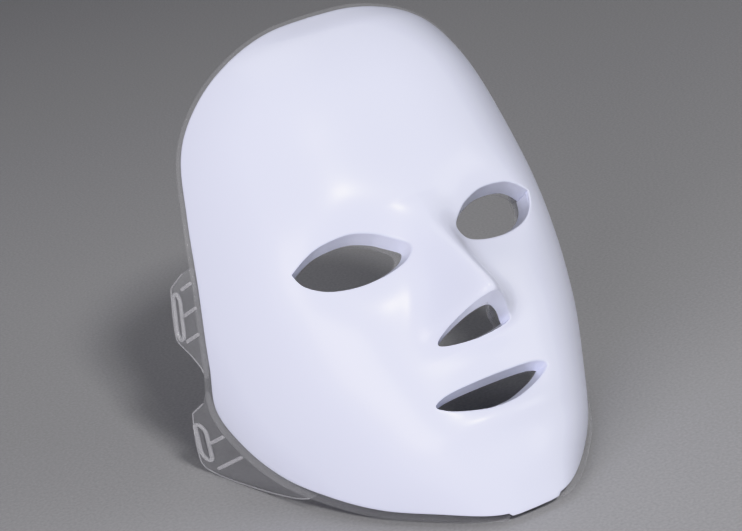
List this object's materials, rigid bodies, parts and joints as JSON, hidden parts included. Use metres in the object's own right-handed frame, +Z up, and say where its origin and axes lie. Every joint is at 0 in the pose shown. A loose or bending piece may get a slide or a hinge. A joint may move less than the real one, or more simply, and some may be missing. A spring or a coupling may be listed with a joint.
{
  "type": "led face mask",
  "caption": "Rigid light-therapy face mask: opaque white face shell over a clear inner shell with slotted strap tabs, LED boards between them and a power socket at the chin.",
  "frame": {"origin": "middle of the underside of the bounding box, on the surface that the mask stands on", "axes": "+Z up as the mask stands by itself on its chin and its two lower strap tabs, leaning back about 38 degrees; the face looks towards -Y; +X to the right as seen from the front"},
  "size_m": [0.1926, 0.1506, 0.1995],
  "materials": {
    "shell_white": "smooth moulded gloss, cool white",
    "shell_clear": "clear moulded polycarbonate",
    "board_white": "white solder mask on circuit board, with LED packages",
    "screw_steel": "zinc plated",
    "ribbon_grey": "flat flexible ribbon",
    "lead_red": "insulated wire",
    "socket_black": "moulded black",
    "pin_brass": "plated contact"
  },
  "bodies": {
    "root": {"outer_shell": "shell_white", "inner_shell": "shell_clear", "forehead_board": "board_white", "nose_bridge_board": "board_white", "left_temple_board": "board_white", "right_temple_board": "board_white", "left_cheek_board": "board_white", "right_cheek_board": "board_white", "chin_board": "board_white", "board_screw_01": "screw_steel", "board_screw_02": "screw_steel", "board_screw_03": "screw_steel", "board_screw_04": "screw_steel", "board_screw_05": "screw_steel", "board_screw_06": "screw_steel", "board_screw_07": "screw_steel", "board_screw_08": "screw_steel", "board_screw_09": "screw_steel", "board_screw_10": "screw_steel", "board_screw_11": "screw_steel", "board_screw_12": "screw_steel", "board_screw_13": "screw_steel", "board_screw_14": "screw_steel", "forehead_bridge_ribbon": "ribbon_grey", "left_forehead_ribbon": "ribbon_grey", "right_forehead_ribbon": "ribbon_grey", "left_temple_ribbon": "ribbon_grey", "right_temple_ribbon": "ribbon_grey", "left_chin_ribbon": "ribbon_grey", "right_chin_ribbon": "ribbon_grey", "power_lead": "lead_red", "power_socket": "socket_black", "socket_pin": "pin_brass"}
  },
  "joints": []
}
